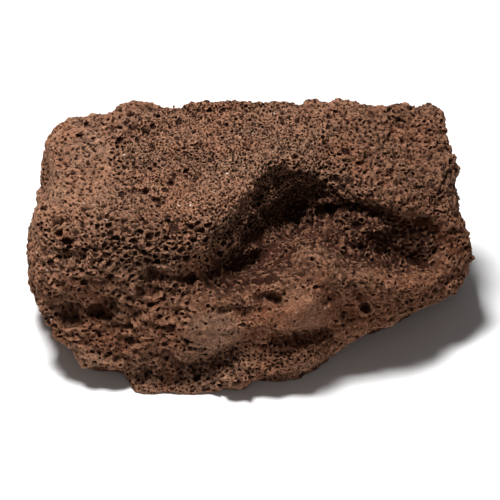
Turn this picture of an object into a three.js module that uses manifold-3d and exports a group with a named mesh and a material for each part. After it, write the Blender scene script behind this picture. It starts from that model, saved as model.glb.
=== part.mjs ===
// A block of red-brown scoria (frothy basalt lava), one solid, as it lies on its flattest side.
// Millimetres. +X runs along the block, +Y towards its back and +Z up. The origin is on the
// ground, under the middle of the block's box.
import * as THREE from "three";
import Module from "manifold-3d";
import { ImprovedNoise } from "three/addons/math/ImprovedNoise.js";
import { mergeVertices } from "three/addons/utils/BufferGeometryUtils.js";

const { clamp, degToRad, lerp, smoothstep } = THREE.MathUtils;

// Driving dimensions
const LENGTH = 150;
const DEPTH = 84;
const HEIGHT = 66;
const CORE_HEIGHT = 30.3; // the block's core above the ground it lies on
const MESH_STEP = 3.5; // the spacing of the mesh over the surface
const GROUND_SNAP = 0.8;
const LIP_GAP = 2.4; // stone facing down within this of the ground reaches down to it
const FACING_DOWN = -0.3; // how far a point's normal turns down before it counts as facing down
const EDGE_SHARPNESS = 22; // how crisply two broken faces meet: 4 is a pebble, 30 a cut block

// The block is shaped with its broad broken side square-on, x to the right, y up and z towards
// the viewer, and then leaned back by this much to lie as it does.
const LEAN = degToRad(52);

// The broken faces that bound the block. A face looks outwards at `around` degrees, counted
// from the right through the top, and is tipped `out` degrees towards the viewer. It lies
// `away` millimetres from the core.
const BROKEN_FACES = [
  { side: "top", around: 90, out: 50, away: 25.5 },
  { side: "top back edge", around: 89, out: -12, away: 55.5 },
  { side: "top left corner", around: 117, out: 5, away: 63.5 },
  { side: "left end, upper", around: 167, out: 8, away: 73.5 },
  { side: "left end, lower", around: 192, out: 8, away: 77 },
  { side: "left foot", around: 222, out: 4, away: 66 },
  { side: "front left", around: 205, out: 55, away: 56 },
  { side: "front", around: 270, out: 71, away: 28.9 },
  { side: "front foot", around: 281, out: 10, away: 44.5 },
  { side: "right undercut", around: 296, out: -2, away: 44.5 },
  { side: "right lower face", around: 298, out: 50, away: 38.8 },
  { side: "right end, lower", around: 353, out: 4, away: 76.5 },
  { side: "right end, upper", around: 14, out: 0, away: 74.5 },
  { side: "front right", around: 352, out: 55, away: 46 },
  { side: "back", around: 90, out: -52, away: 40 },
  { side: "back right", around: 35, out: -48, away: 64 },
  { side: "back left", around: 142, out: -44, away: 62 },
  { side: "back foot", around: 80, out: -84, away: 46 },
  { side: "underside", around: 270, out: -38, away: 32.5 },
];

// The hollows and swellings of the broad side. Each follows a path of places, with how strong
// the stroke is there, and fades out at `left` and `right` millimetres to either side of it.
// `push` is how far it moves the surface at full strength, which holds for `flat` millimetres
// around the path. A stroke is rounded there (crease 0) or sharp (crease 1).
const STROKES = [
  { name: "saddle", path: [[11, 14, 1], [19, 26, 0.6]], left: 12, right: 15, push: [0, 0, -4] },
  {
    name: "wide scoop",
    path: [[-14, -8, 0.4], [12, -2, 0.9], [38, 2, 1], [58, -1, 0.7]],
    left: 15,
    right: 12,
    push: [0, 0, -4],
  },
  {
    name: "main hollow",
    path: [[-22, -11, 0.1], [-9, -8, 0.5], [3, -4, 1], [10, 3, 1], [16, 9, 0.9], [22, 11, 0.5]],
    left: 18,
    right: 9,
    crease: 1,
    push: [0, 1, -19],
  },
  {
    name: "right hollow",
    path: [[20, 11, 0.7], [32, 8, 1], [46, 4, 0.9], [52, 1, 0.6]],
    flat: 5,
    left: 12,
    right: 14,
    crease: 0.5,
    push: [0, 0, -8],
  },
  {
    name: "floor of the right hollow",
    path: [[22, 4, 0.7], [34, -3, 1], [50, -6, 0.8]],
    left: 18,
    right: 7,
    crease: 1,
    push: [0, 0, -10],
  },
  {
    name: "spur between them",
    path: [[20, 3, 0.5], [25, -4, 1], [30, -13, 0.7]],
    left: 6,
    right: 7,
    push: [0, 0, 4],
  },
  {
    name: "belly",
    path: [[-26, -26, 0.4], [-4, -26, 1], [18, -23, 1]],
    left: 14,
    right: 16,
    push: [0, 0, 4],
  },
  { name: "lit shelf", path: [[34, -13, 1], [52, -14, 0.8]], left: 9, right: 7, push: [0, 0, 4] },
  {
    name: "belly ledge",
    path: [[-38, -42, 1], [-18, -40, 1], [-5, -35, 0.8], [0, -30, 0.5]],
    left: 4,
    right: 6,
    push: [0, 0, -4],
  },
  {
    name: "foot",
    path: [[-32, -51, 1], [-14, -49, 0.8], [8, -42, 0.5]],
    left: 8,
    right: 8,
    push: [0, -3, 3],
  },
  { name: "short ledge", path: [[9, -29, 1], [25, -27, 1]], left: 3, right: 5, push: [0, 0, -4] },
  { name: "low lobe", path: [[-6, -41, 0.8], [17, -36, 1]], left: 5, right: 7, push: [0, 0, 5] },
  { name: "left dents", path: [[-60, -20, 1], [-47, -21, 0.8]], left: 8, right: 10, push: [0, 0, -3] },
  { name: "left swelling", path: [[-66, -9, 1], [-50, -8, 1]], left: 9, right: 9, push: [-1, -1, 3] },
  { name: "left foot", path: [[-67, -23, 1], [-64, -31, 1]], left: 8, right: 8, push: [-4, 0, 0] },
  { name: "left end", path: [[-72, 36, 1], [-73, 21, 1]], left: 12, right: 12, push: [7, 0, 0] },
  { name: "top left nick", path: [[-66, 46, 1], [-57, 49, 1]], left: 7, right: 7, push: [1, -10, 0] },
  { name: "upper right edge", path: [[44, 44, 0.8], [60, 46, 1]], left: 14, right: 14, push: [0, 2.5, 0] },
  { name: "right end dip", path: [[73, 20, 1], [74, 12, 1]], left: 7, right: 7, push: [-4, 0, 0] },
  { name: "right end swelling", path: [[74, 2, 1], [74, -3, 1]], left: 6, right: 6, push: [3, 0, 0] },
  { name: "under the belly", path: [[6, -45, 1], [28, -36, 1]], left: 8, right: 8, push: [0, 3, 0] },
];

// A piece knocked off the left foot: little is left below `height` to the left of `end`.
const CHIP = { end: -37, fade: 4, height: -39.5, depth: 12, slope: 0.12 };

// The unevenness of the whole block, in layers.
const RELIEF = [
  { size: 48, height: 3.5 },
  { size: 21, height: 3 },
  { size: 12, height: 1.8 },
];

const noise = new ImprovedNoise();

function outward({ around, out }) {
  const [a, o] = [around, out].map(degToRad);
  return new THREE.Vector3(Math.cos(a) * Math.cos(o), Math.sin(a) * Math.cos(o), Math.sin(o));
}

const bounds = BROKEN_FACES.map((face) => outward(face).divideScalar(face.away));

// The point where a ray from the core leaves the block, and the way the surface faces there.
// The power mean of the faces rounds the edges between them.
function surface(ray) {
  const normal = new THREE.Vector3();
  let sum = 0;
  for (const bound of bounds) {
    const share = Math.max(0, bound.dot(ray));
    sum += share ** EDGE_SHARPNESS;
    normal.addScaledVector(bound, share ** (EDGE_SHARPNESS - 1));
  }
  const point = ray.clone().multiplyScalar(sum ** (-1 / EDGE_SHARPNESS));
  return { point, normal: normal.normalize() };
}

// How strongly a stroke is felt at a place: its own strength on the path, 0 beyond its reach.
function touch(stroke, x, y) {
  let felt = 0;
  for (let i = 1; i < stroke.path.length; i++) {
    const [ax, ay, startStrength] = stroke.path[i - 1];
    const [bx, by, endStrength] = stroke.path[i];
    const [dx, dy] = [bx - ax, by - ay];
    const along = clamp(((x - ax) * dx + (y - ay) * dy) / (dx * dx + dy * dy), 0, 1);
    const gap = Math.hypot(x - ax - dx * along, y - ay - dy * along);
    const onLeft = dx * (y - ay) - dy * (x - ax) > 0;
    const flat = stroke.flat ?? 0;
    const far = clamp((gap - flat) / ((onLeft ? stroke.left : stroke.right) - flat), 0, 1);
    const profile = lerp((1 - far * far) ** 2, 1 - far, stroke.crease ?? 0);
    felt = Math.max(felt, lerp(startStrength, endStrength, along) * profile);
  }
  return felt;
}

function relief({ x, y, z }) {
  let height = 0;
  for (const layer of RELIEF) {
    const at = new THREE.Vector3(x, y, z).divideScalar(layer.size);
    height += layer.height * noise.noise(at.x, at.y, at.z + layer.size);
  }
  return height;
}

function shape(ray) {
  const { point, normal } = surface(ray);
  const facing = smoothstep(normal.z, -0.3, 0.3);
  const shaped = point.clone().addScaledVector(normal, relief(point));
  for (const stroke of STROKES) {
    const felt = touch(stroke, point.x, point.y) * facing;
    shaped.addScaledVector(new THREE.Vector3(...stroke.push), felt);
  }
  const chipped = smoothstep(CHIP.end - shaped.x, 0, CHIP.fade);
  const lowest = CHIP.height - CHIP.depth * (1 - chipped);
  if (shaped.y < lowest) {
    shaped.y = lerp(lowest, shaped.y, CHIP.slope);
  }
  return shaped;
}

function blockGeometry() {
  const steps = [LENGTH, DEPTH, HEIGHT].map((size) => Math.round(size / MESH_STEP));
  const box = new THREE.BoxGeometry(LENGTH, DEPTH, HEIGHT, ...steps);
  box.deleteAttribute("normal");
  box.deleteAttribute("uv");
  box.rotateX(-LEAN);
  const geometry = mergeVertices(box, 1e-3);
  const places = geometry.getAttribute("position");
  for (let i = 0; i < places.count; i++) {
    const { x, y, z } = shape(new THREE.Vector3().fromBufferAttribute(places, i).normalize());
    places.setXYZ(i, x, y, z);
  }
  geometry.rotateX(LEAN);
  geometry.translate(0, 0, CORE_HEIGHT);
  geometry.computeVertexNormals();
  const normals = geometry.getAttribute("normal");
  for (let i = 0; i < places.count; i++) {
    const height = places.getZ(i);
    if (Math.abs(height) < GROUND_SNAP) {
      // A point this near the ground is set on it, so that the flat cut leaves no slivers.
      places.setZ(i, 0);
    } else if (height < LIP_GAP && normals.getZ(i) < FACING_DOWN) {
      // The flat cut then takes this stone, so that no thin lip hangs over the ground.
      places.setZ(i, Math.min(height, -GROUND_SNAP));
    }
  }
  geometry.deleteAttribute("normal");
  return geometry;
}

async function loadManifold() {
  const wasm = await Module();
  wasm.setup();
  return wasm;
}

const { Manifold, Mesh } = await loadManifold();

function solid(geometry) {
  const merged = mergeVertices(geometry, 1e-3);
  return new Manifold(
    new Mesh({
      numProp: 3,
      vertProperties: new Float32Array(merged.getAttribute("position").array),
      triVerts: new Uint32Array(merged.index.array),
    }),
  );
}

// Takes off everything below ground level, which leaves the flat side the block rests on.
function withFlatUnderside(geometry) {
  const ground = new THREE.BoxGeometry(2 * LENGTH, 2 * LENGTH, HEIGHT);
  ground.deleteAttribute("normal");
  ground.deleteAttribute("uv");
  ground.translate(0, 0, -HEIGHT / 2);
  const cut = solid(geometry).subtract(solid(ground)).getMesh();
  const flat = new THREE.BufferGeometry();
  flat.setAttribute("position", new THREE.BufferAttribute(cut.vertProperties, 3));
  flat.setIndex(new THREE.BufferAttribute(cut.triVerts, 1));
  return flat;
}

// Moves the origin to the ground under the middle of the block's box.
function centred(geometry) {
  geometry.computeBoundingBox();
  const middle = geometry.boundingBox.getCenter(new THREE.Vector3());
  geometry.translate(-middle.x, -middle.y, 0);
  return geometry;
}

const rock = new THREE.Mesh(
  centred(withFlatUnderside(blockGeometry())),
  new THREE.MeshStandardMaterial({ color: 0x7a5541, roughness: 0.95, metalness: 0 }),
);
rock.name = "lava_rock";

const part = new THREE.Group();
part.add(rock);
export default part;
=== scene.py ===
import math
import random

import bmesh
import bpy
from mathutils import Matrix, Vector, noise
from mathutils.bvhtree import BVHTree


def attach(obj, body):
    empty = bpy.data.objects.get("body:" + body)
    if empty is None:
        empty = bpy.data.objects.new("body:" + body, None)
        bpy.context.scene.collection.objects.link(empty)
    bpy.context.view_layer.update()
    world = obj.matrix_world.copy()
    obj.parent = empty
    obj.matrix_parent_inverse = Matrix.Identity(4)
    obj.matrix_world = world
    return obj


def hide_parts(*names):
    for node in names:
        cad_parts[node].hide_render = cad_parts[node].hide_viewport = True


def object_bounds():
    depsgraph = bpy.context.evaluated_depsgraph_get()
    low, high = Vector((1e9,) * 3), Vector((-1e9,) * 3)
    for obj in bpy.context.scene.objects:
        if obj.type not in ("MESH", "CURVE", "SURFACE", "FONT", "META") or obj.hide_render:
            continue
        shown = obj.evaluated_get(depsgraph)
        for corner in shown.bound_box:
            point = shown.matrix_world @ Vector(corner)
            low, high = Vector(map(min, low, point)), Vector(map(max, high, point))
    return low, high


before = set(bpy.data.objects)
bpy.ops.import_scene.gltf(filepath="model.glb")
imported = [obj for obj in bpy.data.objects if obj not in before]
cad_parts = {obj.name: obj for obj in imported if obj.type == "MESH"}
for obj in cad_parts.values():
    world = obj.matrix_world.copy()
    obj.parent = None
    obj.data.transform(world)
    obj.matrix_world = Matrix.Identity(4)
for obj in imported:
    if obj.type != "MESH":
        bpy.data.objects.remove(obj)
cadBox = [list(corner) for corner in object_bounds()]
cadLow, cadHigh = [Vector(corner) for corner in cadBox]
cadSize = cadHigh - cadLow
mm = 0.001
print("stage: frame loaded, the rock is", [round(side / mm) for side in cadSize], "mm")

# The rock is carved as if its broad side were square-on, then it leans back to lie as it does.
lie = {
    "lean": math.radians(52),
    "core": Vector((-0.0004, -0.0002, 0.458 * cadSize.z)),
}
toFaceOn = Matrix.Rotation(-lie["lean"], 3, "X")
fromFaceOn = Matrix.Rotation(lie["lean"], 3, "X")


def faceOn(point):
    # millimetres to the right, up and out of the broad side
    return toFaceOn @ (point - lie["core"]) / mm


camera = {
    "elevation": math.radians(38),
    "distance": 0.62,
    "aimHeight": 0.44,  # share of the rock's height
    "viewWidth": 0.16667,  # metres across the picture at the rock
    "sensor": 0.036,
}


def makeCamera():
    data = bpy.data.cameras.new("camera")
    data.sensor_width = camera["sensor"] * 1000
    data.lens = camera["sensor"] * 1000 * camera["distance"] / camera["viewWidth"]
    cameraObject = bpy.data.objects.new("camera", data)
    bpy.context.scene.collection.objects.link(cameraObject)
    aim = Vector((0, 0, camera["aimHeight"] * cadSize.z))
    towards = Vector((0, -math.cos(camera["elevation"]), math.sin(camera["elevation"])))
    cameraObject.location = aim + towards * camera["distance"]
    cameraObject.rotation_euler = towards.to_track_quat("Z", "Y").to_euler()
    bpy.context.scene.camera = cameraObject


makeCamera()
print("stage: camera placed")

# Rock body: a fine skin over the block, carved, roughened and then pitted.
rock = {
    "skin": 0.86 * mm,  # spacing of the fine mesh, halved where a patch is close-pored
    "smoothing": 6,
    "chartSmoothing": 20,
    "seed": 11,
    "jitter": 0.26,  # share of the spacing that a point wanders over the surface
    "wander": 0.9 * mm,  # size of that wandering
    "groundBlend": 3 * mm,  # carving and roughness fade out this close to the ground
    "flatBelow": 0.02 * mm,  # faces under this height are the flat underside
    "sharpEdge": math.radians(50),
}

# Each cut follows a path of places on the broad side, with its strength there. It fades out
# at `left` and `right` millimetres to either side; push moves the surface right, up and out.
cuts = {
    "scoop edge": {
        "path": [(-9, 1, 0.8), (-1, 10, 1), (8, 23, 0.7)],
        "left": 5, "right": 10, "push": (0, 0, -3.5),
    },
    "left shoulder": {
        "path": [(-66, 35, 1), (-61, 40, 1)],
        "left": 9, "right": 9, "push": (-2, 1, 0),
    },
    "deep pit": {
        "path": [(3, 3, 0.7), (8, 8, 1), (14, 11, 0.8)],
        "left": 7, "right": 4, "push": (0, 1, -7),
    },
    "second pit": {
        "path": [(24, 12, 1), (27, 12, 1)],
        "left": 3, "right": 3, "push": (0, 1, -4),
    },
    "third pit": {
        "path": [(36, 13, 0.8), (46, 10, 1)],
        "left": 3, "right": 4, "push": (0, 1, -3),
    },
    "right rise": {
        "path": [(45, 4, 1), (57, 1, 1)],
        "left": 7, "right": 6, "push": (0, 0, 3.5),
    },
    "upper right pit": {
        "path": [(57, 8, 1), (61, 6, 0.8)],
        "left": 3, "right": 3, "push": (0, 0, -2.5),
    },
    "crack": {
        "path": [(31, -7, 0.8), (34, -13, 1), (38, -20, 0.8)],
        "left": 1.7, "right": 1.7, "push": (0, 0, -1.8),
    },
    "belly hole": {
        "path": [(3, -16, 0.8), (8, -16, 1), (10, -18, 0.6)],
        "left": 2.5, "right": 2.5, "push": (0, 0, -4),
    },
    "belly crack": {
        "path": [(-4, -22, 0.5), (7, -19, 1), (12, -24, 0.6)],
        "left": 2, "right": 3, "push": (0, 0, -2),
    },
    "ledge": {
        "path": [(-26, -38, 0.3), (-17, -38, 0.8), (-8, -34, 1), (-1, -29, 0.8)],
        "left": 2.5, "right": 4, "push": (0, 0, -2.5),
    },
    "short ledge": {
        "path": [(9, -28, 1), (24, -27, 1)],
        "left": 2, "right": 4, "push": (0, 0, -2.5),
    },
    "left dent": {
        "path": [(-60, -19, 1), (-57, -21, 1)],
        "left": 5, "right": 5, "push": (0, 0, -3.5),
    },
    "middle dent": {
        "path": [(-50, -20, 1), (-46, -21, 1)],
        "left": 4, "right": 4, "push": (0, 0, -2.5),
    },
    "crest nicks": {
        "path": [(-64, -2, 1), (-53, -3, 1)],
        "left": 3, "right": 3, "push": (0, 0, -2),
    },
    "low slot": {
        "path": [(-34, -14, 1), (-26, -14, 1)],
        "left": 2.5, "right": 3, "push": (0, 0, -2.5),
    },
    "high slot": {
        "path": [(-31, -9, 1), (-19, -10, 1)],
        "left": 2.5, "right": 3, "push": (0, 0, -2.5),
    },
    "top hollow": {
        "path": [(-9, 35, 1), (-5, 36, 1)],
        "left": 4, "right": 4, "push": (0, 0, -1.5),
    },
    "red patch": {
        "path": [(-14, -26, 1), (-10, -28, 1)],
        "left": 6, "right": 6, "push": (0, 0, 1),
    },
    "pale knob": {
        "path": [(15, -20, 1), (19, -19, 1)],
        "left": 6, "right": 6, "push": (0, 0, 2.5),
    },
}

inset = 0.25  # how far the roughened surface lies inside the block, in millimetres
waveMiddle = 0.35  # the usual height of a broken wave, taken off so that a layer adds no bulk
# Layers of roughness over the whole rock: size and height in millimetres. A stretched layer
# runs longer along the block, as the flow bands do.
roughness = [
    {"size": 9.0, "height": 1.0, "stretch": 1.0},
    {"size": 4.4, "height": 1.15, "stretch": 1.7},
    {"size": 2.3, "height": 0.75, "stretch": 1.2},
    {"size": 1.5, "height": 0.6, "stretch": 1.0},
]
# Loose lumps with cracks between them, in millimetres.
crumbs = {
    "size": 3.8,
    "depth": 1.3,  # of the cracks
    "crack": 0.4,  # width of a crack, against a lump
    "wander": 0.6,  # how crooked the lumps are, against their size
    "raise": 0.15,  # share of the depth given back to the lumps
    "patch": 9,  # size of the places with and without crumbs
}

# Places where the rock broke into slots and ribs that run one way.
bands = [
    {
        "name": "slots", "at": (-50, -19), "reach": (32, 20),
        "turn": -8, "across": 3.4, "along": 10, "height": 1.7,
    },
    {
        "name": "streaks", "at": (56, 28), "reach": (24, 20),
        "turn": 38, "across": 2.0, "along": 9, "height": 0.9,
    },
    {
        "name": "ribs", "at": (38, -2), "reach": (28, 15),
        "turn": -22, "across": 2.4, "along": 7, "height": 0.8,
    },
]

# Where the surface is calmer or more broken than usual: place and reach on the broad side.
# Their tone is partly the stone's own colour and partly painted light and shade: raised on the lit top,
# left rim and brow, lowered on the lower front.
patches = [
    {
        "name": "lower front", "at": (14, -16), "reach": (46, 20),
        "rough": 0.85, "fine": 0.1, "coarse": 0.0, "crumb": 0.5, "toneAndLight": 0.77,
    },
    {
        "name": "right end", "at": (60, -4), "reach": (22, 20),
        "rough": 0.9, "fine": 0.2, "coarse": 0.0, "crumb": 0.5, "toneAndLight": 0.7,
    },
    {
        "name": "smooth red patch", "at": (-11, -27), "reach": (12, 7),
        "rough": 0.4, "fine": 0.03, "coarse": 0.0, "crumb": 0.3, "toneAndLight": 1.1,
    },
    {
        "name": "smooth pale knob", "at": (17, -21), "reach": (10, 8),
        "rough": 0.35, "fine": 0.02, "coarse": 0.0, "crumb": 0.2, "toneAndLight": 0.95,
    },
    {
        "name": "scoop wall", "at": (-2, 0), "reach": (16, 10),
        "rough": 0.6, "fine": 0.2, "coarse": 0.0, "crumb": 0.3, "toneAndLight": 0.9,
    },
    {
        "name": "round-pored band", "at": (-36, 5), "reach": (32, 12),
        "rough": 1.0, "fine": 0.5, "coarse": 1.0, "crumb": 0.4, "toneAndLight": 0.96, "closePored": True,
    },
    {
        "name": "fine-pored top", "at": (-6, 28), "reach": (42, 24),
        "rough": 0.9, "fine": 1.0, "coarse": 0.12, "crumb": 0.3, "toneAndLight": 1.2, "closePored": True,
    },
    {
        "name": "left rim", "at": (-62, 24), "reach": (24, 26),
        "rough": 0.75, "fine": 0.35, "coarse": 0.08, "crumb": 0.4, "toneAndLight": 1.2,
    },
    {
        "name": "crumbly foot", "at": (-48, -24), "reach": (28, 20),
        "rough": 1.15, "fine": 0.2, "coarse": 0.2, "crumb": 0.5, "toneAndLight": 0.84,
    },
    {
        "name": "lit brow", "at": (-11, 15), "reach": (13, 8),
        "rough": 0.8, "fine": 0.8, "coarse": 0.0, "crumb": 0.3, "toneAndLight": 1.45,
    },
    {
        "name": "dark streaks", "at": (50, 15), "reach": (20, 9),
        "rough": 1.1, "fine": 0.4, "coarse": 0.0, "crumb": 0.5, "toneAndLight": 0.7,
    },
    {
        "name": "pale lip", "at": (-56, -36), "reach": (9, 5),
        "rough": 0.9, "fine": 0.1, "coarse": 0.0, "crumb": 0.3, "toneAndLight": 1.35,
    },
    {
        "name": "broken corner", "at": (48, 32), "reach": (24, 18),
        "rough": 1.2, "fine": 0.5, "coarse": 0.1, "crumb": 0.6, "toneAndLight": 0.92,
    },
]
elsewhere = {"rough": 1.1, "fine": 0.5, "coarse": 0.2, "crumb": 0.6, "toneAndLight": 1.05}
# Pores thicken and thin out slowly over the rock.
drift = {"size": 22 * mm, "coarse": 1.4, "fine": -0.5}


def smoothStep(value, low, high):
    share = min(max((value - low) / (high - low), 0), 1)
    return share * share * (3 - 2 * share)


def pathTouch(cut, right, up):
    felt = 0
    for (ax, ay, startStrength), (bx, by, endStrength) in zip(cut["path"], cut["path"][1:]):
        dx, dy = bx - ax, by - ay
        along = min(max(((right - ax) * dx + (up - ay) * dy) / (dx * dx + dy * dy), 0), 1)
        gapX, gapY = right - ax - dx * along, up - ay - dy * along
        side = cut["left"] if dx * (up - ay) - dy * (right - ax) > 0 else cut["right"]
        far = min(math.hypot(gapX, gapY) / side, 1)
        strength = startStrength + (endStrength - startStrength) * along
        felt = max(felt, strength * (1 - far * far) ** 2)
    return felt


def shareOf(patch, place):
    # 1 in the middle of a patch of the broad side, 0 outside it
    offX = (place.x - patch["at"][0]) / patch["reach"][0]
    offY = (place.y - patch["at"][1]) / patch["reach"][1]
    return 1 - smoothStep(math.hypot(offX, offY), 0.6, 1.15)


def facingShare(normal):
    # 1 on the broad side, 0 on the back and the ends
    return smoothStep((toFaceOn @ normal).z, -0.1, 0.4)


def localCharacter(point, normal):
    # how rough and how pored the rock is here, blended from the patches it lies in
    place = faceOn(point)
    facing = facingShare(normal)
    wave = noise.noise(point / drift["size"])
    character = dict(elsewhere)
    for key in ("coarse", "fine"):
        character[key] *= 1 + drift[key] * wave
    for patch in patches:
        share = facing * shareOf(patch, place)
        for key in character:
            character[key] += (patch[key] - character[key]) * share
    return character


def isClosePored(face):
    if (toFaceOn @ face.normal).z < 0:
        return False
    place = faceOn(face.calc_center_median())
    return any(shareOf(patch, place) > 0.3 for patch in patches if patch.get("closePored"))


def soften(bm, rounds):
    for _ in range(rounds):
        bmesh.ops.smooth_vert(
            bm, verts=bm.verts, factor=0.5, use_axis_x=True, use_axis_y=True, use_axis_z=True
        )
    bm.normal_update()


def fineSkin():
    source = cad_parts["lava_rock"]
    bm = bmesh.new()
    bm.from_mesh(source.data)
    bmesh.ops.remove_doubles(bm, verts=bm.verts, dist=0.001 * mm)
    block = bpy.data.meshes.new("block")
    bm.to_mesh(block)
    bm.free()
    blockObject = bpy.data.objects.new("block", block)
    bpy.context.scene.collection.objects.link(blockObject)
    remesh = blockObject.modifiers.new("skin", "REMESH")
    remesh.mode = "VOXEL"
    remesh.voxel_size = rock["skin"]
    bpy.context.view_layer.update()
    evaluated = blockObject.evaluated_get(bpy.context.evaluated_depsgraph_get())
    bm = bmesh.new()
    bm.from_mesh(evaluated.data)
    bpy.data.objects.remove(blockObject)
    bm.normal_update()
    closeFaces = [face for face in bm.faces if isClosePored(face)]
    closeEdges = list({edge for face in closeFaces for edge in face.edges})
    bmesh.ops.subdivide_edges(bm, edges=closeEdges, cuts=1, use_grid_fill=True)
    soften(bm, rock["smoothing"])
    return bm


def edgesOf(cut):
    wide = max(cut["left"], cut["right"])
    xs = [x for x, y, strength in cut["path"]]
    ys = [y for x, y, strength in cut["path"]]
    return min(xs) - wide, max(xs) + wide, min(ys) - wide, max(ys) + wide


def carve(bm):
    turnedAway = 0.3  # cuts fade out where the surface turns away from the broad side
    edges = {name: edgesOf(cut) for name, cut in cuts.items()}
    for vert in bm.verts:
        outward = (toFaceOn @ vert.normal).z
        if outward < -turnedAway:
            continue
        facing = smoothStep(outward, -turnedAway, turnedAway)
        facing *= smoothStep(vert.co.z, 0.2 * mm, rock["groundBlend"])
        place = faceOn(vert.co)
        for name, cut in cuts.items():
            left, right, low, high = edges[name]
            if left < place.x < right and low < place.y < high:
                felt = pathTouch(cut, place.x, place.y) * facing
                vert.co += fromFaceOn @ Vector(cut["push"]) * mm * felt
    bm.normal_update()


def broken(wave):
    # broken rock is sharp along its crests and rounded in its hollows
    return 0.55 - 1.6 * abs(wave) + 0.6 * wave


def crumbHeight(point):
    # 0 on the lumps, falling to -1 in the cracks between them
    spot = point / (crumbs["size"] * mm)
    spot += noise.noise_vector(spot * 1.7) * crumbs["wander"]
    nearest, second = noise.voronoi(spot)[0][:2]
    patchy = smoothStep(noise.noise(point / (crumbs["patch"] * mm)), -0.35, 0.25)
    return patchy * (smoothStep(second - nearest, 0, crumbs["crack"]) - 1)


def roughHeight(point, normal, character):
    height = 0
    for layer in roughness:
        size = layer["size"] * mm
        spot = Vector((point.x / layer["stretch"], point.y, point.z)) / size
        spot.z += layer["size"]
        height += layer["height"] * (broken(noise.noise(spot)) - waveMiddle)
    height *= character["rough"]
    height += character["crumb"] * crumbs["depth"] * (crumbHeight(point) + crumbs["raise"])
    place = faceOn(point)
    facing = facingShare(normal)
    for band in bands:
        share = facing * shareOf(band, place)
        if share > 0:
            turn = math.radians(band["turn"])
            along = (place.x * math.cos(turn) + place.y * math.sin(turn)) / band["along"]
            across = (place.y * math.cos(turn) - place.x * math.sin(turn)) / band["across"]
            wave = noise.noise(Vector((along, across, place.z / band["across"])))
            height += share * band["height"] * (broken(wave) - waveMiddle)
    return (height - inset) * mm


def roughen(bm):
    moves = []
    for vert in bm.verts:
        fade = smoothStep(vert.co.z, 0.1 * mm, rock["groundBlend"])
        character = localCharacter(vert.co, vert.normal)
        wander = noise.noise_vector(vert.co / rock["wander"]) * rock["skin"] * rock["jitter"]
        wander -= vert.normal * wander.dot(vert.normal)
        moves.append((vert.normal * roughHeight(vert.co, vert.normal, character) + wander) * fade)
    for vert, move in zip(bm.verts, moves):
        vert.co += move
        vert.co.z = max(vert.co.z, 0)


def triangulate(bm):
    bmesh.ops.triangulate(bm, faces=bm.faces, quad_method="SHORT_EDGE", ngon_method="BEAUTY")
    for _ in range(2):
        bmesh.ops.beautify_fill(bm, faces=bm.faces, edges=bm.edges, method="ANGLE")
    bm.normal_update()


# Pores: sizes in millimetres, depth against the radius. The share is of all the places that
# a pore of the kind could be.
pores = {
    "coarse": {"radius": (0.9, 2.0), "depth": (0.8, 1.3), "share": 0.05},
    "fine": {"radius": (0.45, 0.95), "depth": (0.8, 2.0), "share": 0.6},
    "loose": 1.15,  # how much wider pores are where there is no foam
    "tighten": 0.4,  # how much of that is lost in the closest foam
    "oval": 1.7,  # the most that a pore is drawn out
    "ragged": 0.45,  # how far a rim wanders in and out, against the radius
    "raggedSize": 1.1 * mm,
    "lean": 12 * mm,  # pores within about this of each other are drawn out the same way
    "mouth": (0.8, 1.35),  # mesh points this far out, against the radius, are set on its rim
    "rimPull": 0.75,  # how far in a point may be before it is no longer moved out to the rim
    "lowest": 1.2 * mm,  # height above the ground of the lowest pores
    "deepest": 0.35,  # share of that height that a pore may sink
    "bowl": 0.7,  # how much shallower a pore is at its rim than in its middle
    "rimLight": 0.6,  # how much lighter the painted shade in a pore is there
}


def mouthAround(vert, radius, longWay, stretch):
    # the mesh points in a pore's oval and on its rim, with how far out each one is
    inner, outer = pores["mouth"]
    outness = {vert: 0.0}
    edge = [vert]
    while edge:
        reached = []
        for near in edge:
            for link in near.link_edges:
                other = link.other_vert(near)
                if other in outness:
                    continue
                offset = other.co - vert.co
                along = offset.dot(longWay) / stretch
                across = (offset - longWay * offset.dot(longWay)).length
                ragged = 1 + pores["ragged"] * noise.noise(other.co / pores["raggedSize"])
                outness[other] = math.hypot(along, across) / (radius * ragged)
                if outness[other] < inner:
                    reached.append(other)
        edge = reached
    inside = {member: out for member, out in outness.items() if out < inner or member is vert}
    rim = {member: out for member, out in outness.items() if member not in inside}
    return inside, {member: min(out, outer) for member, out in rim.items()}


def choosePores(bm, maker):
    characters = {vert: localCharacter(vert.co, vert.normal) for vert in bm.verts}
    order = [vert for vert in bm.verts if vert.co.z > pores["lowest"]]
    maker.shuffle(order)
    insides = set()
    rims = set()
    chosen = []
    for kind in ("coarse", "fine"):
        look = pores[kind]
        for vert in order:
            chance = maker.random()
            radius = maker.triangular(*look["radius"], look["radius"][0]) * mm
            radius *= pores["loose"] - pores["tighten"] * characters[vert]["fine"]
            if vert in insides or vert in rims or chance > characters[vert][kind] * look["share"]:
                continue
            upright = noise.noise_vector(vert.co / pores["lean"]) + Vector((0, 0, 1))
            longWay = vert.normal.cross(upright).normalized()
            stretch = maker.uniform(1, pores["oval"])
            inside, rim = mouthAround(vert, radius, longWay, stretch)
            # pores may share a rim, but not run into each other
            if not insides.isdisjoint(rim) or not insides.isdisjoint(inside) or not rims.isdisjoint(inside):
                continue
            for member, out in rim.items():
                if member not in rims:
                    member.co = vert.co + (member.co - vert.co) / max(out, pores["rimPull"])
            insides.update(inside)
            rims.update(rim)
            depth = min(radius * maker.uniform(*look["depth"]), pores["deepest"] * vert.co.z)
            chosen.append((vert.normal.copy(), depth, inside))
    return chosen, characters


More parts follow.
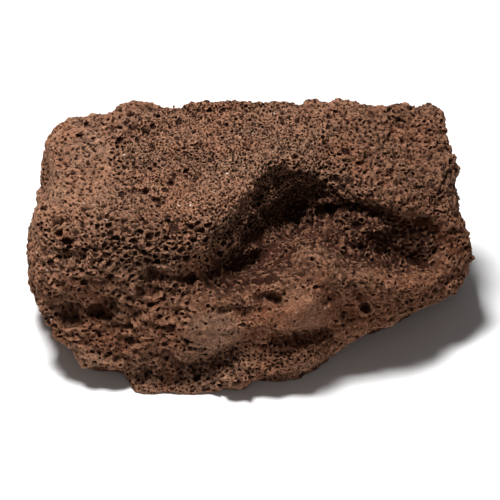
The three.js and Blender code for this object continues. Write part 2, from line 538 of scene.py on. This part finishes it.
def sinkPores(bm, maker):
    poreLayer = bm.verts.layers.int.new("poreNumber")
    poreShadeLayer = bm.verts.layers.float.new("poreShade")
    foamLayer = bm.verts.layers.float.new("foam")
    toneLayer = bm.verts.layers.float.new("toneAndLight")
    chosen, characters = choosePores(bm, maker)
    for vert, character in characters.items():
        vert[foamLayer] = character["fine"]
        vert[toneLayer] = character["toneAndLight"]
    sunk = []
    for number, (normal, depth, inside) in enumerate(chosen, 1):
        for vert, out in inside.items():
            vert[poreLayer] = number
            # painted shade inside the pore, strongest in its middle
            vert[poreShadeLayer] = 1 - pores["rimLight"] * out * out
            sunk.append((vert, -normal * depth * (1 - pores["bowl"] * out ** 3)))
    return sunk, len(chosen)


def markHollows(bm):
    # how far each point lies below the tight skin drawn around the whole rock, in millimetres; the finish
    # paints shade by it
    skin = bm.copy()
    around = bmesh.ops.convex_hull(skin, input=skin.verts, use_existing_faces=False)
    kept = {item for item in around["geom"] if isinstance(item, bmesh.types.BMFace)}
    bmesh.ops.delete(skin, geom=[face for face in skin.faces if face not in kept], context="FACES")
    tight = BVHTree.FromBMesh(skin)
    skin.free()
    hollowLayer = bm.verts.layers.float.new("hollow")
    for vert in bm.verts:
        vert[hollowLayer] = tight.find_nearest(vert.co)[3] / mm


def markCrests(bm):
    # how far each point stands out from its neighbours: above 0 on crests, below in hollows; the finish
    # paints highlight and shade by it
    fullCrest = 0.4  # share of the mesh spacing that counts as 1
    crestLayer = bm.verts.layers.float.new("crest")
    for vert in bm.verts:
        around = [link.other_vert(vert).co for link in vert.link_edges]
        middle = sum(around, Vector()) / len(around)
        spacing = sum((near - vert.co).length for near in around) / len(around)
        vert[crestLayer] = (vert.co - middle).dot(vert.normal) / (fullCrest * spacing)


# The six flat charts of the rock's own UV map, in millimetres on one square sheet.
sheet = {"side": 318 * mm, "gap": 4 * mm, "margin": 2 * mm}


def chartCorners():
    width, depth, height = cadSize + Vector((1, 1, 1)) * 2 * sheet["margin"]
    gap = sheet["gap"]
    rowTwo = gap * 2 + depth
    rowThree = rowTwo + gap + depth
    rowFour = rowThree + gap + height
    return {
        (2, 1): (gap, gap),
        (2, -1): (gap, rowTwo),
        (1, 1): (gap, rowThree),
        (1, -1): (gap, rowFour),
        (0, 1): (gap * 2 + width, gap),
        (0, -1): (gap * 2 + width, rowTwo),
    }


def layOutCharts(bm, smoothRock):
    corners = chartCorners()
    uvLayer = bm.loops.layers.uv.new("OFBake")
    poreLayer = bm.verts.layers.int["poreNumber"]
    chartOfPore = {}
    for face in bm.faces:
        number = max(vert[poreLayer] for vert in face.verts)
        if number and number in chartOfPore:
            axis, sign = chartOfPore[number]
        else:
            normal = smoothRock.find_nearest(face.calc_center_median())[1]
            axis = max(range(3), key=lambda way: abs(normal[way]))
            sign = 1 if normal[axis] > 0 else -1
            if number:
                chartOfPore[number] = (axis, sign)
        cornerX, cornerY = corners[(axis, sign)]
        across, up = [way for way in range(3) if way != axis]
        for loop in face.loops:
            offset = loop.vert.co - cadLow
            loop[uvLayer].uv = (
                (cornerX + sheet["margin"] + offset[across]) / sheet["side"],
                (cornerY + sheet["margin"] + offset[up]) / sheet["side"],
            )


def flattenUnderside(bm):
    flat = [face for face in bm.faces if all(vert.co.z < rock["flatBelow"] for vert in face.verts)]
    inside = list({vert for face in flat for vert in face.verts})
    edges = list({edge for face in flat for edge in face.edges})
    bmesh.ops.dissolve_limit(bm, angle_limit=math.radians(1), verts=inside, edges=edges)
    bmesh.ops.triangulate(bm, faces=[face for face in bm.faces if len(face.verts) > 3])


def makeRock():
    maker = random.Random(rock["seed"])
    bm = fineSkin()
    print("stage: skin of", len(bm.verts), "points")
    carve(bm)
    smooth = bm.copy()
    soften(smooth, rock["chartSmoothing"])
    smoothRock = BVHTree.FromBMesh(smooth)
    roughen(bm)
    triangulate(bm)
    flattenUnderside(bm)
    print("stage: carved and roughened,", len(bm.faces), "triangles")
    markHollows(bm)
    sunk, count = sinkPores(bm, maker)
    layOutCharts(bm, smoothRock)
    smooth.free()
    for vert, move in sunk:
        vert.co += move
    bm.normal_update()
    markCrests(bm)
    for face in bm.faces:
        face.smooth = True
    for edge in bm.edges:
        edge.smooth = edge.calc_face_angle(0) < rock["sharpEdge"]
    for vert in bm.verts:
        vert.co = Vector([min(max(vert.co[way], cadLow[way]), cadHigh[way]) for way in range(3)])
    print("stage:", count, "pores sunk,", len(bm.faces), "triangles")
    mesh = bpy.data.meshes.new("lavaRock")
    bm.to_mesh(mesh)
    bm.free()
    rockObject = bpy.data.objects.new("lavaRock", mesh)
    bpy.context.scene.collection.objects.link(rockObject)
    return rockObject


lavaRock = makeRock()

scoriaLook = {
    "brown": (0.235, 0.101, 0.056, 1),
    "rust": (0.24, 0.088, 0.046, 1),
    "ash": (0.195, 0.096, 0.058, 1),
    "pale": (0.47, 0.235, 0.138, 1),
    # pit: painted shade in the pores and creases
    "pit": (0.022, 0.008, 0.005, 1),
    "grain": (0.38, 0.34, 0.32, 1),  # dark grains, against the stone around them
    "hollow": (0.27, 0.215, 0.21, 1),  # painted shade deep in the hollows, against the rest
    "hollowDepth": (3.5, 11.5),  # depths in millimetres where that begins and is full
    "redder": (0.68, 0.61, 0.57, 1),  # the same for the lower front: partly the stone's redder colour, partly painted shade
    "tanner": (1.33, 1.50, 1.60, 1),  # and for the top: partly the stone's tanner colour, partly painted light
    "toneRange": (0.65, 1.3),  # the tones that are all redder and all tanner
    "fleck": (0.62, 0.47, 0.38, 1),
    "roughness": 0.95,
    "shine": 0.08,
}


def newGroup(name, inputs, outputs):
    tree = bpy.data.node_groups.new(name, "ShaderNodeTree")
    for socketName, kind, value in inputs:
        socket = tree.interface.new_socket(socketName, in_out="INPUT", socket_type=kind)
        if value is not None:
            socket.default_value = value
    for socketName, kind in outputs:
        tree.interface.new_socket(socketName, in_out="OUTPUT", socket_type=kind)
    return tree, tree.nodes.new("NodeGroupInput"), tree.nodes.new("NodeGroupOutput")


def addNode(tree, kind, settings=None, inputs=None):
    node = tree.nodes.new(kind)
    for key, value in (settings or {}).items():
        setattr(node, key, value)
    for key, value in (inputs or {}).items():
        if isinstance(value, bpy.types.NodeSocket):
            tree.links.new(value, node.inputs[key])
        else:
            node.inputs[key].default_value = value
    return node


def cloudy(tree, place, scale, detail, roughness):
    node = addNode(tree, "ShaderNodeTexNoise", None, {
        "Vector": place, "Scale": scale, "Detail": detail, "Roughness": roughness,
    })
    return node.outputs["Fac"]


def pointValue(tree, name):
    return addNode(tree, "ShaderNodeAttribute", {"attribute_name": name}).outputs["Fac"]


def mixColour(tree, share, first, second, blend="MIX"):
    node = tree.nodes.new("ShaderNodeMix")
    node.data_type = "RGBA"
    node.blend_type = blend
    for index, value in ((0, share), (6, first), (7, second)):
        if isinstance(value, bpy.types.NodeSocket):
            tree.links.new(value, node.inputs[index])
        else:
            node.inputs[index].default_value = value
    return node.outputs[2]


def ramp(tree, value, low, high, outLow=0.0, outHigh=1.0):
    node = addNode(tree, "ShaderNodeMapRange", {"interpolation_type": "SMOOTHSTEP"}, {
        "Value": value, "From Min": low, "From Max": high, "To Min": outLow, "To Max": outHigh,
    })
    return node.outputs["Result"]


def finePoresGroup():
    # round holes too small for the mesh: a mask of the holes, which the finish darkens with painted shade,
    # and the height of the surface
    tree, start, end = newGroup(
        "finePores",
        [
            ("Place", "NodeSocketVector", None),
            ("Scale", "NodeSocketFloat", 1000.0),
            ("Size", "NodeSocketFloat", 0.36),
            ("Amount", "NodeSocketFloat", 0.8),
        ],
        [("Hole", "NodeSocketFloat"), ("Height", "NodeSocketFloat")],
    )
    cells = addNode(tree, "ShaderNodeTexVoronoi", {"feature": "F1"}, {
        "Vector": start.outputs["Place"], "Scale": start.outputs["Scale"], "Randomness": 0.95,
    })
    pick = addNode(tree, "ShaderNodeSeparateColor", None, {"Color": cells.outputs["Color"]})
    size = addNode(tree, "ShaderNodeMath", {"operation": "MULTIPLY"}, {
        0: start.outputs["Size"], 1: ramp(tree, pick.outputs[0], 0.0, 1.0, 0.5, 1.3),
    })
    inner = addNode(tree, "ShaderNodeMath", {"operation": "SUBTRACT"}, {
        0: size.outputs[0], 1: cells.outputs["Distance"],
    })
    there = addNode(tree, "ShaderNodeMath", {"operation": "LESS_THAN"}, {
        0: pick.outputs[1], 1: start.outputs["Amount"],
    })
    kept = addNode(tree, "ShaderNodeMath", {"operation": "MULTIPLY"}, {
        0: ramp(tree, inner.outputs[0], -0.04, 0.14), 1: there.outputs[0],
    })
    height = addNode(tree, "ShaderNodeMath", {"operation": "SUBTRACT"}, {0: 1.0, 1: kept.outputs[0]})
    tree.links.new(kept.outputs[0], end.inputs["Hole"])
    tree.links.new(height.outputs[0], end.inputs["Height"])
    return tree


def stoneToneGroup():
    # the slow drift of colour over the rock, its grain and its small flecks
    tree, start, end = newGroup(
        "stoneTone",
        [
            ("Place", "NodeSocketVector", None),
            ("Brown", "NodeSocketColor", scoriaLook["brown"]),
            ("Rust", "NodeSocketColor", scoriaLook["rust"]),
            ("Ash", "NodeSocketColor", scoriaLook["ash"]),
            ("Pale", "NodeSocketColor", scoriaLook["pale"]),
            ("Fleck", "NodeSocketColor", scoriaLook["fleck"]),
        ],
        [("Color", "NodeSocketColor")],
    )
    place = start.outputs["Place"]
    regions = cloudy(tree, place, 32.0, 4.0, 0.6)
    blots = cloudy(tree, place, 90.0, 4.0, 0.6)
    speckle = cloudy(tree, place, 520.0, 3.0, 0.7)
    grain = cloudy(tree, place, 1700.0, 2.0, 0.6)
    flecks = addNode(tree, "ShaderNodeTexVoronoi", {"feature": "F1"}, {"Vector": place, "Scale": 260.0})
    pick = addNode(tree, "ShaderNodeSeparateColor", None, {"Color": flecks.outputs["Color"]})
    brownPart = ramp(tree, regions, 0.42, 0.62)
    colour = mixColour(tree, brownPart, start.outputs["Ash"], start.outputs["Brown"])
    colour = mixColour(tree, ramp(tree, blots, 0.5, 0.68, 0, 0.8), colour, start.outputs["Rust"])
    colour = mixColour(tree, ramp(tree, speckle, 0.5, 0.75, 0, 0.8), colour, start.outputs["Pale"])
    dark = mixColour(tree, 1.0, colour, scoriaLook["grain"], "MULTIPLY")
    colour = mixColour(tree, ramp(tree, grain, 0.62, 0.34, 0, 0.85), colour, dark)
    near = ramp(tree, flecks.outputs["Distance"], 0.13, 0.07, 0, 0.7)
    rare = addNode(tree, "ShaderNodeMath", {"operation": "LESS_THAN"}, {0: pick.outputs[0], 1: 0.22})
    fleck = addNode(tree, "ShaderNodeMath", {"operation": "MULTIPLY"}, {0: near, 1: rare.outputs[0]})
    colour = mixColour(tree, fleck.outputs[0], colour, start.outputs["Fleck"])
    tree.links.new(colour, end.inputs["Color"])
    return tree


def bump(tree, height, distance, strength, under=None):
    values = {"Height": height, "Distance": distance, "Strength": strength}
    if under is not None:
        values["Normal"] = under
    return addNode(tree, "ShaderNodeBump", None, values).outputs["Normal"]


def scoria():
    material = bpy.data.materials.new("scoria")
    material.use_nodes = True
    tree = material.node_tree
    shader = tree.nodes["Principled BSDF"]
    place = addNode(tree, "ShaderNodeTexCoord").outputs["Object"]
    stone = addNode(tree, "ShaderNodeGroup", {"node_tree": stoneToneGroup()}, {"Place": place})
    foam = pointValue(tree, "foam")
    crest = pointValue(tree, "crest")
    depth = pointValue(tree, "poreShade")
    finePores = finePoresGroup()
    holes = addNode(tree, "ShaderNodeGroup", {"node_tree": finePores}, {
        "Place": place, "Scale": 950.0, "Size": 0.4, "Amount": ramp(tree, foam, 0.0, 0.8, 0.1, 0.9),
    })
    tinyPores = addNode(tree, "ShaderNodeGroup", {"node_tree": finePores}, {
        "Place": place, "Scale": 2100.0, "Size": 0.36, "Amount": ramp(tree, foam, 0.0, 0.8, 0.3, 0.8),
    })
    # painted shade: the stone is darkened where it lies deep in the hollows
    hollowShade = ramp(tree, pointValue(tree, "hollow"), *scoriaLook["hollowDepth"])
    # painted light and shade by region: the tone pales the lit top and darkens the lower front, besides the
    # stone's own redder and tanner parts
    towardsTan = ramp(tree, pointValue(tree, "toneAndLight"), *scoriaLook["toneRange"])
    region = mixColour(tree, towardsTan, scoriaLook["redder"], scoriaLook["tanner"])
    colour = mixColour(tree, 1.0, stone.outputs["Color"], region, "MULTIPLY")
    colour = mixColour(tree, hollowShade, colour, scoriaLook["hollow"], "MULTIPLY")
    # painted highlight on the crests, mixed towards the pale colour, and painted shade in the creases,
    # mixed towards the pit colour
    colour = mixColour(tree, ramp(tree, crest, 0.1, 1.0, 0, 0.38), colour, scoriaLook["pale"])
    colour = mixColour(tree, ramp(tree, crest, -0.1, -0.8, 0, 0.7), colour, scoriaLook["pit"])
    # painted shade in the pores: the shader's small holes and the sunk pores are darkened towards the pit
    # colour
    colour = mixColour(tree, ramp(tree, tinyPores.outputs["Hole"], 0, 1, 0, 0.72), colour, scoriaLook["pit"])
    colour = mixColour(tree, ramp(tree, holes.outputs["Hole"], 0, 1, 0, 0.85), colour, scoriaLook["pit"])
    colour = mixColour(tree, ramp(tree, depth, 0.15, 0.8, 0, 0.88), colour, scoriaLook["pit"])
    tree.links.new(colour, shader.inputs["Base Color"])
    shader.inputs["Roughness"].default_value = scoriaLook["roughness"]
    shader.inputs["Specular IOR Level"].default_value = scoriaLook["shine"]
    grit = cloudy(tree, place, 1000.0, 4.0, 0.75)
    relief = bump(tree, tinyPores.outputs["Height"], 0.15 * mm, 0.8)
    relief = bump(tree, holes.outputs["Height"], 0.4 * mm, 1.0, relief)
    relief = bump(tree, grit, 0.7 * mm, 0.9, relief)
    tree.links.new(relief, shader.inputs["Normal"])
    return material


lavaRock.data.materials.append(scoria())
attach(lavaRock, "root")
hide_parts("lava_rock")
print("stage: scoria finish made")

studio = {
    "floorSide": 6.0,
    "floor": (0.9, 0.9, 0.9, 1),
    "floorRoughness": 0.9,
    "sky": 0.08,
    "key": {"at": Vector((-0.13, 0.02, 0.66)), "size": 0.16, "energy": 6.9},
    "front": {"at": Vector((0.0, -0.6, 0.35)), "size": 0.5, "energy": 0.3},
}


def makeStudio():
    bm = bmesh.new()
    bmesh.ops.create_grid(bm, x_segments=1, y_segments=1, size=studio["floorSide"] / 2)
    mesh = bpy.data.meshes.new("floor")
    bm.to_mesh(mesh)
    bm.free()
    floor = bpy.data.objects.new("floor", mesh)
    bpy.context.scene.collection.objects.link(floor)
    paint = bpy.data.materials.new("floorPaint")
    paint.use_nodes = True
    shader = paint.node_tree.nodes["Principled BSDF"]
    shader.inputs["Base Color"].default_value = studio["floor"]
    shader.inputs["Roughness"].default_value = studio["floorRoughness"]
    mesh.materials.append(paint)
    world = bpy.data.worlds.new("studio")
    world.use_nodes = True
    sky = world.node_tree.nodes["Background"]
    sky.inputs["Color"].default_value = (1, 1, 1, 1)
    sky.inputs["Strength"].default_value = studio["sky"]
    bpy.context.scene.world = world
    for name in ("key", "front"):
        light = bpy.data.lights.new(name, "AREA")
        light.size = studio[name]["size"]
        light.energy = studio[name]["energy"]
        lamp = bpy.data.objects.new(name, light)
        lamp.location = studio[name]["at"]
        lamp.rotation_euler = studio[name]["at"].to_track_quat("Z", "Y").to_euler()
        bpy.context.scene.collection.objects.link(lamp)
    bpy.context.scene.view_settings.view_transform = "Standard"


makeStudio()
print("stage: floor and lights placed")
